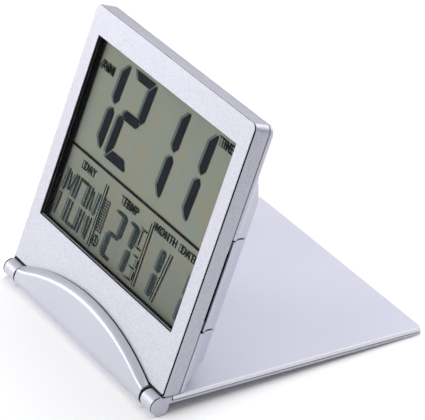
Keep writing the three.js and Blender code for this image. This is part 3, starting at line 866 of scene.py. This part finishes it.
def knuckle_groove_shade(base, side, x):
    """A groove let into the barrel of a knuckle, under the level of its arm, and a black ring of
    painted shade in it.
    """
    depth, fit = 2.3, 0.01
    groove = build("groove", rod(2.7, x, x + RING_WIDTH))
    carve(groove, "DIFFERENCE", rod(depth, x - BEYOND, x + BEYOND))
    carve(groove, "DIFFERENCE", block(-90, 90, 0.2, 9, -9, 9))
    carve(base, "DIFFERENCE", taken(groove))
    ring = build(f"knuckle_ring_{side}", rod(2.42, x + fit, x + RING_WIDTH - fit))
    carve(ring, "DIFFERENCE", rod(depth + fit, x - BEYOND, x + BEYOND))
    carve(ring, "DIFFERENCE", block(-90, 90, 0.2 - fit, 9, -9, 9))
    settle_black(ring, COVER, "cover")


def cover_base():
    """Inner panel of the cover in one moulding with its two hinge knuckles."""
    panel = prism(cover_outline(2), COVER_INNER, PANEL_TOP, 0.12, 0.06)
    base = build("cover_base", panel)
    carve(base, "DIFFERENCE", prism(notch_outline(), -3, 5))
    ends = ((-HALF_WIDTH, -KNUCKLE_INNER), (KNUCKLE_INNER, HALF_WIDTH))
    carve(base, "UNION", *[sideways(prism(knuckle_profile(), *end, 0.18, 0.18)) for end in ends])
    carve(base, "DIFFERENCE", rod(PIN_BORE, -41.5, 41.5, steps=24))
    for side, x in RING_PLACES.items():
        knuckle_groove_shade(base, side, x)
    settle(base, COVER, "cover", FRAME_PAINT, ["cover_frame"])


# ---- Display -----------------------------------------------------------------


def slanted(points, pivot, slant=0.085):
    """Points leant to the right, without moving those at the pivot's height."""
    return [(x + slant * (v - pivot), v) for x, v in points]


# Segments of a large digit: offsets from its right edge, and heights up the face.
LARGE = {
    "a": [(-11.4, 67.0), (-9.2, 64.6), (-3.3, 64.6), (-1.1, 67.0)],
    "b": [(-0.55, 66.7), (-3.15, 63.9), (-3.15, 56.6), (-1.45, 55.1), (0, 56.6), (0, 66.0)],
    "c": [(-0.5, 42.6), (0, 43.4), (0, 53.0), (-1.45, 54.3), (-3.15, 52.9), (-3.15, 45.2)],
    "d": [(-11.1, 41.75), (-1.1, 41.75), (-0.6, 42.2), (-2.6, 44.6), (-8.8, 44.6), (-11.2, 42.1)],
    "e": [(-11.5, 42.5), (-8.95, 45.4), (-8.95, 52.9), (-10.6, 54.25), (-12.05, 52.9),
          (-12.05, 43.3)],
    "f": [(-11.6, 67.1), (-12.05, 66.3), (-12.05, 56.6), (-10.6, 55.1), (-8.95, 56.6),
          (-8.95, 63.9)],
    "g": [(-10.4, 54.7), (-9.1, 53.4), (-2.9, 53.4), (-1.6, 54.75), (-2.9, 56.1), (-9.1, 56.1)],
}
# Right edge and lit segments of each large digit.
LARGE_DIGITS = [(-21.2, "bc"), (-6.8, "abged"), (11.3, "bc"), (25.7, "bc")]


def large_digit(right, segments):
    return [slanted([(right + x, v) for x, v in LARGE[s]], 66.2, 0.069) for s in segments]


def rest_of(names, lit):
    return [name for name in names if name not in lit]


def stroke(x0, v0, x1, v1, width):
    """A bar between two points with chamfered ends."""
    start, end = Vector((x0, v0)), Vector((x1, v1))
    along = (end - start).normalized()
    side = Vector((-along.y, along.x)) * width / 2
    tip = along * width * 0.35
    corners = [start - side * 0.35, start + tip - side, end - tip - side, end - side * 0.35,
               end + side * 0.35, end - tip + side, start + tip + side, start + side * 0.35]
    return [tuple(corner) for corner in corners]


def small_digit(right, width, segments, thick):
    """Seven segments of a small digit; right is its right edge at the top."""
    bottom, top = 19.4, 33.0
    left, middle = right - width, (bottom + top) / 2
    half, gap = thick / 2, 0.35
    bars = {
        "a": (left + 1.2, top - 0.5, right - 1.0, top - 0.5, 1.0),
        "b": (right - half, middle + gap, right - half, top - gap, thick),
        "c": (right - half, bottom + gap, right - half, middle - gap, thick),
        "d": (left + 0.9, bottom + 0.5, right - 1.6, bottom + 0.5, 1.0),
        "e": (left + half, bottom + gap, left + half, middle - gap, thick),
        "f": (left + half, middle + gap, left + half, top - gap, thick),
        "g": (left + 1.0, middle, right - 1.0, middle, 1.1),
    }
    return [slanted(stroke(*bars[s]), top) for s in segments]


# Right edge, width, lit segments and stroke of each small digit.
SMALL_DIGITS = [(-0.25, 6.4, "abged", 1.9), (6.2, 5.2, "abc", 1.9), (20.8, 5.2, "bc", 2.1),
                (35.9, 5.2, "bc", 2.1)]


def day_name():
    """The letters M, O and N as upper and lower halves of straight strokes."""
    top, bottom, middle, thick = 32.9, 19.5, 26.2, 0.75
    strokes = []
    for x in (-33.2, -28.3, -26.6, -21.7, -20.0, -15.9):
        strokes.append((x, middle + 0.35, x, top, thick))
        strokes.append((x, bottom, x, middle - 0.35, thick))
    strokes += [(-32.2, top - 0.6, -31.0, middle + 1.2, 0.7),
                (-29.3, top - 0.6, -30.5, middle + 1.2, 0.7),
                (-26.0, top - 0.4, -22.3, top - 0.4, 0.9),
                (-26.0, bottom + 0.4, -22.3, bottom + 0.4, 0.9),
                (-19.1, top - 0.7, -18.2, middle + 0.6, 0.7),
                (-17.7, middle - 0.6, -16.8, bottom + 0.7, 0.7)]
    return [slanted(stroke(*values), 33) for values in strokes]


def bar_gauge():
    """The ladder of thin bars beside the day name."""
    strokes = [(x, 23.8, x, 33.0, 0.3) for x in (-12.9, -10.5)]
    for i in range(12):
        v = 24.2 + 0.76 * i
        strokes.append((-12.6, v, -10.8, v, 0.3))
    return [stroke(*values) for values in strokes]


def symbols():
    """Degree sign with its pointer, and the tenths digit, in thin strokes."""
    strokes = [(-11.7, 20.2, -11.7, 23.2, 0.4), (-11.7, 21.4, -10.9, 21.4, 0.35),
                (7.9, 33.2, 9.8, 33.2, 0.5), (7.4, 28.6, 7.6, 32.9, 0.5),
                (7.3, 28.1, 9.5, 28.1, 0.5), (6.8, 33.5, 7.2, 33.5, 0.5),
                (7.6, 26.0, 9.4, 26.0, 0.5), (7.3, 22.8, 9.3, 22.8, 0.5),
                (9.7, 23.2, 9.8, 25.6, 0.5), (9.5, 20.0, 9.6, 22.4, 0.5),
                (7.1, 19.7, 9.2, 19.7, 0.5), (5.9, 19.5, 6.4, 19.5, 0.6)]
    outlines = [stroke(*values) for values in strokes]
    steps = 24
    dial, hole = (circle(-11.7, 21.5, radius, steps) for radius in (1.55, 1.2))
    for i in range(steps):
        j = (i + 1) % steps
        outlines.append([hole[i], dial[i], dial[j], hole[j]])
    return outlines


def shadowed(outlines):
    dx, dv = SHADOW_SHIFT
    return [[(x + dx, v + dv) for x, v in outline] for outline in outlines]


def plates(name, outlines, front, material, thickness=MARK):
    """Thin raised marks, one for each outline."""
    parts = [prism(outline, front - thickness, front) for outline in outlines]
    settle(build(name, *parts), BODY, "clock_body", material)


def shadow(name, outlines, material):
    """The marks' drop shadow, on the cell's back surface."""
    plates(f"{name}_shadow", shadowed(outlines), LCD_SUBSTRATE + MARK, material)


def marks(name, outlines, material):
    """Marks on the cell's front surface, with their shadow."""
    plates(name, outlines, LCD["front"], material)
    shadow(name, outlines, LCD_GHOST)


def lettering(name, words, front, material):
    """Generic legends, each fitted to a box (left, right, bottom, top)."""
    points, faces = [], []
    for text, left, right, bottom, top in words:
        curve = bpy.data.curves.new("legend", "FONT")
        curve.body = text
        curve.offset = 0.012
        holder = add("legend", curve)
        mesh = evaluated(holder)
        bpy.data.objects.remove(holder)
        xs = [v.co.x for v in mesh.vertices]
        ys = [v.co.y for v in mesh.vertices]
        width, height = max(xs) - min(xs), max(ys) - min(ys)
        start = len(points)
        for v in mesh.vertices:
            points.append((left + (v.co.x - min(xs)) / width * (right - left),
                           bottom + (v.co.y - min(ys)) / height * (top - bottom), front))
        faces += [tuple(start + i for i in p.vertices) for p in mesh.polygons]
    piece = build(name, (points, faces))
    thick = piece.modifiers.new("thickness", "SOLIDIFY")
    thick.thickness = MARK / 1000
    thick.offset = -1
    settle(piece, BODY, "clock_body", material)


def digits():
    """The lit and unlit segments of the large and the small digits."""
    large, small, unlit = [], [], []
    for right, segments in LARGE_DIGITS:
        large += large_digit(right, segments)
        unlit += large_digit(right, rest_of(LARGE, segments))
    for right, width, segments, thick in SMALL_DIGITS:
        small += small_digit(right, width, segments, thick)
        unlit += small_digit(right, width, rest_of("abcdefg", segments), thick)
    marks("lcd_hours_minutes", large, LCD_DARK)
    plates("lcd_unlit_segments", unlit, LCD_SUBSTRATE + 0.01, LCD_OFF, 0.02)
    marks("lcd_small_digits", small, LCD_GREY)


# Each legend with its left, right, bottom and top.
LEGENDS = [
    ("AM", -34.9, -28.0, 60.9, 63.6), ("TIME", 26.9, 33.4, 64.6, 67.1),
    ("DAY", -27.6, -20.9, 35.0, 37.3), ("TEMP", -5.4, 3.1, 34.6, 36.9),
    ("MONTH", 12.2, 23.4, 35.1, 37.25), ("DATE", 25.9, 34.2, 35.1, 37.25),
]


def legends():
    lettering("lcd_legends", LEGENDS, LCD["front"], LCD_INK_AND_LINE_SHADOW)
    dx, dv = SHADOW_SHIFT
    moved = [(word, a + dx, b + dx, c + dv, d + dv) for word, a, b, c, d in LEGENDS]
    lettering("lcd_legends_shadow", moved, LCD_SUBSTRATE + MARK, INK_SHADOW)


def printed_lines():
    """Black border along the foot, and the lines that divide the display."""
    left, right, bottom, _ = WINDOW
    border = rectangle(left + 1.02, right - 1.02, bottom - 0.33, bottom + 0.2)
    plates("lcd_border", [border], LCD["front"] + 0.08, BLACK_PLASTIC_AND_SLOT_SHADE, 0.07)
    divider = rectangle(-36.5, 36.5, 38.7, 39.45)
    uprights = [rectangle(x - 0.22, x + 0.22, 19, 36.25) for x in (-13.65, 11.4)]
    uprights.append([(20.95, 19.2), (21.4, 19.2), (23.7, 33), (23.25, 33)])
    plates("lcd_lines", [divider] + uprights, LCD["front"], LCD_INK_AND_LINE_SHADOW)
    # Painted drop shadow of the uprights, in the ink's colour.
    shadow("lcd_lines", uprights, LCD_INK_AND_LINE_SHADOW)


def display():
    """LCD cell with everything that it shows, each kind of mark a piece of its own."""
    outline = rounded_rectangle(LCD["left"], LCD["right"], LCD["bottom"], LCD["top"], 0.2)
    cell = build("lcd_cell", prism(outline, LCD["back"], LCD_SUBSTRATE, 0.05, 0.05))
    settle(cell, BODY, "clock_body", LCD_BACK, ["lcd_panel"])
    digits()
    marks("lcd_day_name", day_name(), LCD_GREY)
    plates("lcd_bar_gauge", bar_gauge(), LCD["front"], LCD_GREY)
    plates("lcd_symbols", symbols(), LCD["front"], LCD_INK_AND_LINE_SHADOW)
    shadow("lcd_symbols", symbols() + bar_gauge(), LCD_GHOST)
    legends()
    printed_lines()


# ---- Run ---------------------------------------------------------------------

face_plate()
face_gap_shade()
window_gasket()
lens_edges()
front_shell()
rear_shell()
battery_door()
door_gap_shade()
nail_slot_shade()
buttons()
fascia()
crescent_gap_shade()
foot_gap_shades()
washers()
cover_plate()
cover_base()
display()

# CAD nodes that are shown as they are, each with its material.
FINISHES = {
    "display_lens": LENS,
    "display_holder": BLACK_PLASTIC_AND_SLOT_SHADE,
    "lcd_reflector": REFLECTOR,
    "lcd_connector_strip": BLACK_RUBBER_AND_GAP_SHADE,
    "circuit_board": BOARD,
    "controller_chip": BLACK_PLASTIC_AND_SLOT_SHADE,
    "quartz_crystal": STEEL,
    "temperature_sensor": BLACK_PLASTIC_AND_SLOT_SHADE,
    "buzzer_disc": BRASS,
    "keypad_mat": BLACK_RUBBER_AND_GAP_SHADE,
    "coin_cell": STEEL,
    "battery_contact_positive": BRASS,
    "battery_contact_negative": BRASS,
    "hinge_pin_left": STEEL,
    "hinge_pin_right": STEEL,
    "cover_adhesive": ADHESIVE,
}
FINISHES.update({name: STEEL for name in frame["nodes"] if "_screw_" in name})
for node, finish in FINISHES.items():
    slot = frame["nodes"][node].material_slots[0]
    slot.link = "OBJECT"
    slot.material = finish

# ---- Floor, light and camera -------------------------------------------------


def floor():
    """Pale sheet of paper, half a metre to each side; sizes here are in metres."""
    mesh = bpy.data.meshes.new("floor")
    reach, steps = 0.5, 12
    points = [(-reach + 2 * reach * i / steps, -reach + 2 * reach * j / steps, 0)
              for j in range(steps + 1) for i in range(steps + 1)]
    faces = []
    for j in range(steps):
        for i in range(steps):
            a = j * (steps + 1) + i
            faces.append((a, a + 1, a + steps + 2, a + steps + 1))
    mesh.from_pydata(points, [], faces)
    sheet = add("floor", mesh)
    paper = Surface("pale_paper", (0.97, 0.97, 0.97), 0.9)
    paper.shade(paper.noise(60, 0.99, 1.01))
    mesh.materials.append(paper.material)


def lamp(name, direction, size, strength):
    """A square soft box; strength is what a white matt surface facing it shows."""
    aim, distance = Vector((0, 0, 0.03)), 0.7
    light = bpy.data.lights.new(name, "AREA")
    light.shape = "SQUARE"
    light.size = size
    light.energy = strength * math.pi ** 2 * distance ** 2
    holder = add(name, light)
    towards = Vector(direction).normalized()
    holder.location = aim + towards * distance
    holder.rotation_mode = "QUATERNION"
    holder.rotation_quaternion = towards.to_track_quat("Z", "Y")


def world():
    """Dim surroundings that light the clock, behind a white backdrop."""
    backdrop = bpy.data.worlds.new("studio")
    backdrop.use_nodes = True
    tree = backdrop.node_tree
    tree.nodes.clear()
    new, link = tree.nodes.new, tree.links.new
    output = new("ShaderNodeOutputWorld")
    mix = new("ShaderNodeMixShader")
    path = new("ShaderNodeLightPath")
    room = new("ShaderNodeBackground")
    room.inputs["Color"].default_value = (0.97, 0.97, 1, 1)
    room.inputs["Strength"].default_value = 0.4
    seen = new("ShaderNodeBackground")
    seen.inputs["Color"].default_value = (1, 1, 1, 1)
    link(path.outputs["Is Camera Ray"], mix.inputs["Fac"])
    link(room.outputs["Background"], mix.inputs[1])
    link(seen.outputs["Background"], mix.inputs[2])
    link(mix.outputs["Shader"], output.inputs["Surface"])
    bpy.context.scene.world = backdrop


def camera():
    """The photo's camera, from a fit to the clock's edges: it looks at the target from outside."""
    azimuth, elevation = math.radians(62.48436), math.radians(28.23704)
    roll = math.radians(-2.38541)
    target = Vector((3.19409, 0.56537, 29.36593)) / 1000
    distance = 0.8573865
    back = Vector((math.sin(azimuth) * math.cos(elevation),
                   -math.cos(azimuth) * math.cos(elevation), math.sin(elevation)))
    level = Vector((math.cos(azimuth), math.sin(azimuth), 0))
    upright = back.cross(level)
    right = math.cos(roll) * level + math.sin(roll) * upright
    up = math.cos(roll) * upright - math.sin(roll) * level
    lens = bpy.data.cameras.new("camera")
    lens.sensor_fit = "HORIZONTAL"
    lens.sensor_width = 36
    lens.lens = 282.47
    lens.clip_start, lens.clip_end = 0.01, 50
    holder = add("camera", lens)
    holder.matrix_world = Matrix((
        (right.x, up.x, back.x, target.x + back.x * distance),
        (right.y, up.y, back.y, target.y + back.y * distance),
        (right.z, up.z, back.z, target.z + back.z * distance),
        (0, 0, 0, 1),
    ))
    bpy.context.scene.camera = holder


floor()
lamp("key", (-0.78, -0.52, 0.34), 0.22, 0.35)
lamp("front", (-0.1, -0.93, 0.35), 0.6, 0.48)
lamp("top", (0, 0.25, 0.97), 0.6, 0.34)
lamp("rear", (0.1, 0.9, 0.42), 0.5, 0.34)
lamp("rear_top", (-0.35, 0.62, 0.7), 0.6, 0.44)
world()
camera()
bpy.context.scene.view_settings.view_transform = "Standard"
